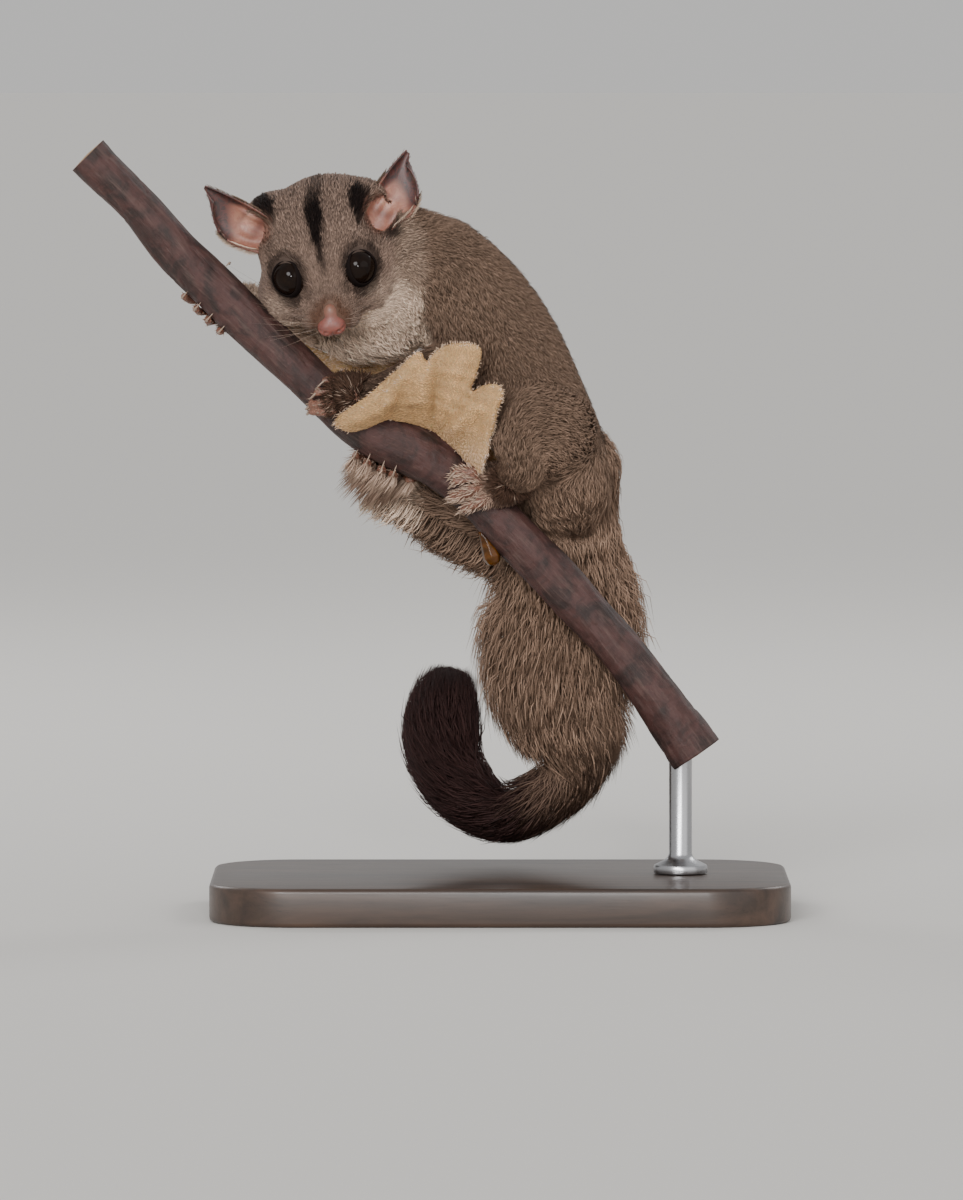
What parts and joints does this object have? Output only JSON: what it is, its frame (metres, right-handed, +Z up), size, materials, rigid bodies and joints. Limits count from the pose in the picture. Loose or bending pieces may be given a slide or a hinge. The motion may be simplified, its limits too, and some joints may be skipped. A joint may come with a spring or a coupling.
{
  "type": "sugar glider",
  "caption": "Life-size sugar glider gripping a sloping branch, face turned to the viewer and bushy tail hanging in a curl, held on a flat base by a short rod.",
  "frame": {"origin": "middle of the stand base's underside", "axes": "+Z up; -Y the front of the display, which the animal's face and left side look to; +X to the right as seen from the front, towards the branch's low end and the rod"},
  "size_m": [0.1858, 0.1, 0.201],
  "materials": {
    "stand_wood": "dark satin stained wood",
    "stand_steel": "brushed",
    "bark": "smooth reddish brown bark",
    "gum": "glossy amber tree gum",
    "eye": "glossy black",
    "nose_skin": "moist pink skin",
    "bare_skin": "thin bare skin",
    "coat_grey": "short soft grey-brown fur",
    "coat_cream": "short cream fur",
    "coat_dark": "dark brown fur"
  },
  "bodies": {
    "root": {"stand_base": "stand_wood", "perch_branch": "bark", "stand_rod": "stand_steel", "perch_gum_drop": "gum", "eye_left": "eye", "eye_right": "eye", "torso": "coat_grey", "neck": "coat_cream", "head": "coat_grey", "nose": "nose_skin", "arm_upper_left": "coat_grey", "forearm_left": "coat_dark", "hand_left": "bare_skin", "thigh_left": "coat_grey", "shank_left": "coat_grey", "foot_left": "bare_skin", "arm_upper_right": "coat_grey", "forearm_right": "coat_dark", "hand_right": "bare_skin", "thigh_right": "coat_grey", "shank_right": "coat_grey", "foot_right": "bare_skin", "tail_1": "coat_grey", "tail_2": "coat_grey", "tail_3": "coat_dark", "tail_4": "coat_dark", "ear_left": "bare_skin", "membrane_left": "coat_cream", "ear_right": "bare_skin", "membrane_right": "coat_cream"}
  },
  "joints": []
}
